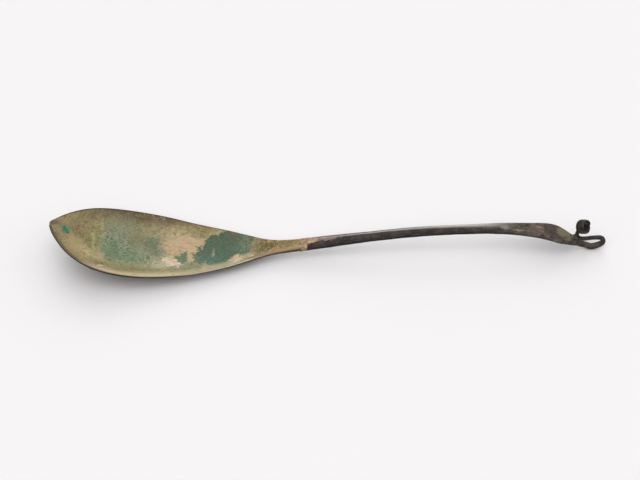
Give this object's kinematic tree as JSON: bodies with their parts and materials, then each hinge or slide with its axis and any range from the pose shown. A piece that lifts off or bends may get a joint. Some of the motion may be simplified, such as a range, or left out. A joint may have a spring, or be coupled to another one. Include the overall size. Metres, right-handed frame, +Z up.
{
  "type": "spoon",
  "caption": "Old hand-made table spoon: a shallow leaf-shaped bowl soldered to a long, thin, arched handle that ends in a small blade, a hanging eye and a rolled scroll.",
  "frame": {"origin": "the middle of the spoon's length and width, at the level of the table that it lies on", "axes": "+X along the spoon from the bowl's tip to the hanging eye, +Y across it, +Z up out of the bowl"},
  "size_m": [0.2536, 0.0434, 0.0206],
  "materials": {
    "bowl_metal": "hammered yellow bronze, dull, with ragged patches of green, brown and pink-tan patina",
    "solder": "rough tan solder, ragged at its edges",
    "handle_metal": "forged dark bronze, nearly black and half polished, olive-brown where the blade bends down"
  },
  "bodies": {
    "root": {"bowl": "bowl_metal", "neck": "bowl_metal", "solder_seam": "solder", "handle_shaft": "handle_metal", "handle_blade": "handle_metal", "hanging_eye": "handle_metal", "rolled_scroll": "handle_metal"}
  },
  "joints": []
}
